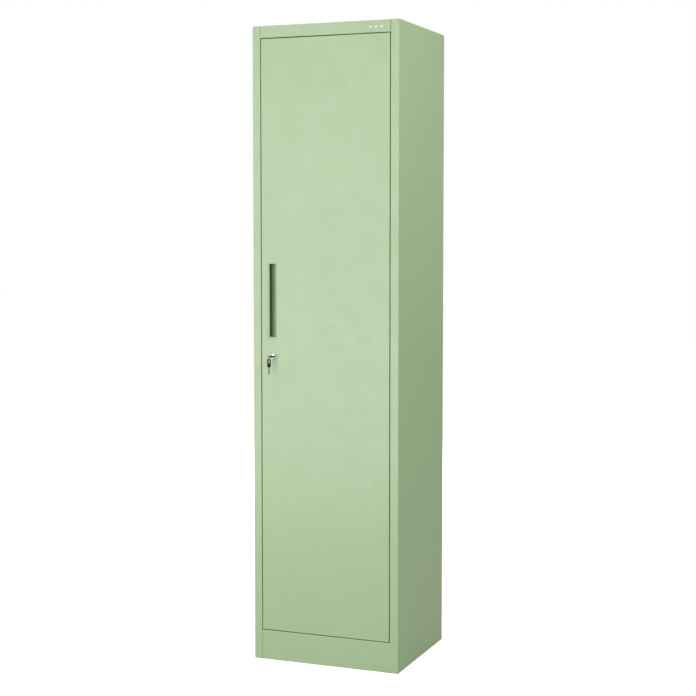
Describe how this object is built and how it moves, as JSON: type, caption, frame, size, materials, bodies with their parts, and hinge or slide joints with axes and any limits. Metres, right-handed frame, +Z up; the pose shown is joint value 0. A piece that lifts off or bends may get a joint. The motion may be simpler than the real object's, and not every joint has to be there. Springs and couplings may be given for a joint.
{
  "type": "school locker",
  "caption": "Tall folded-steel locker with one inset door on pivot pins, a recessed pull, a cam lock with keys, a hat shelf and a coat rail.",
  "frame": {"origin": "on the floor, in the middle of the whole object's box, keys included", "axes": "+X to the right seen from the front, +Y to the back, +Z up; the door faces -Y"},
  "size_m": [0.45, 0.428, 1.85],
  "materials": {
    "paint": "satin sage-green powder coat",
    "pull_plastic": "satin, moulded to match the paint",
    "zinc_steel": "bright zinc plate",
    "chrome": "polished",
    "black_plastic": "fine moulded grain",
    "rubber": "matt",
    "nylon": "natural nylon"
  },
  "bodies": {
    "carcass": {"side_panel_left": "paint", "side_panel_right": "paint", "top_panel": "paint", "floor_panel": "paint", "back_panel": "paint", "back_rivet_left_1": "zinc_steel", "back_rivet_left_2": "zinc_steel", "back_rivet_left_3": "zinc_steel", "back_rivet_left_4": "zinc_steel", "back_rivet_right_1": "zinc_steel", "back_rivet_right_2": "zinc_steel", "back_rivet_right_3": "zinc_steel", "back_rivet_right_4": "zinc_steel", "shelf_runner_left": "paint", "shelf_runner_right": "paint", "top_hinge_bush": "nylon", "bottom_hinge_bush": "nylon", "door_bumper_1": "rubber", "door_bumper_2": "rubber"},
    "door": {"door_skin": "paint", "door_stiffener": "paint", "top_hinge_plate": "zinc_steel", "bottom_hinge_plate": "zinc_steel", "bottom_hinge_pin": "zinc_steel", "top_hinge_spring": "zinc_steel", "recessed_pull": "pull_plastic", "lock_housing": "chrome", "lock_nut": "zinc_steel"},
    "hinge_bolt": {"top_hinge_bolt": "zinc_steel"},
    "lock": {"lock_plug": "chrome", "lock_cam": "zinc_steel", "cam_screw": "zinc_steel"},
    "key": {"key_bow": "black_plastic", "key_blade": "zinc_steel"},
    "key_ring": {"key_ring": "zinc_steel"},
    "spare_key": {"spare_key_bow": "black_plastic", "spare_key_blade": "zinc_steel"},
    "shelf": {"hat_shelf": "paint", "rail_hanger_left": "zinc_steel", "rail_hanger_right": "zinc_steel", "hanger_rivet_left_1": "zinc_steel", "hanger_rivet_left_2": "zinc_steel", "hanger_rivet_right_1": "zinc_steel", "hanger_rivet_right_2": "zinc_steel", "coat_rail": "zinc_steel", "rail_cap_left": "black_plastic", "rail_cap_right": "black_plastic"},
    "coat_hook_1": {"coat_hook_1": "zinc_steel"},
    "coat_hook_2": {"coat_hook_2": "zinc_steel"}
  },
  "joints": [
    {"name": "door_hinge", "type": "hinge", "parent": "carcass", "child": "door", "pos_m": [0.189, -0.181, 0.0892], "axis": [0, 0, 1], "range_deg": [0, 120]},
    {"name": "hinge_bolt_slide", "type": "slide", "parent": "door", "child": "hinge_bolt", "axis": [0, 0, 1], "range_m": [-0.01, 0], "stiffness_N_per_m": 600, "springref_m": 0.01, "deforming": ["top_hinge_spring"]},
    {"name": "lock_turn", "type": "hinge", "parent": "door", "child": "lock", "pos_m": [-0.162, -0.186, 0.898], "axis": [0, -1, 0], "range_deg": [0, 90]},
    {"name": "key_slide", "type": "slide", "parent": "lock", "child": "key", "axis": [0, -1, 0], "range_m": [0, 0.03]},
    {"name": "key_ring_swing", "type": "hinge", "parent": "key", "child": "key_ring", "pos_m": [-0.16625, -0.208, 0.898], "axis": [0, -1, 0], "range_deg": [-90, 0]},
    {"name": "spare_key_swing", "type": "hinge", "parent": "key_ring", "child": "spare_key", "pos_m": [-0.16625, -0.208, 0.8885], "axis": [1, 0, 0], "range_deg": [-20, 20]},
    {"name": "shelf_lift", "type": "slide", "parent": "carcass", "child": "shelf", "axis": [0, 0, 1], "range_m": [0, 0.03]},
    {"name": "coat_hook_1_slide", "type": "slide", "parent": "shelf", "child": "coat_hook_1", "axis": [1, 0, 0], "range_m": [-0.08, 0.05]},
    {"name": "coat_hook_2_slide", "type": "slide", "parent": "shelf", "child": "coat_hook_2", "axis": [1, 0, 0], "range_m": [-0.05, 0.08]}
  ],
  "couplings": [
    {"joint": "key_ring_swing", "follows": "lock_turn", "ratio": -1}
  ]
}
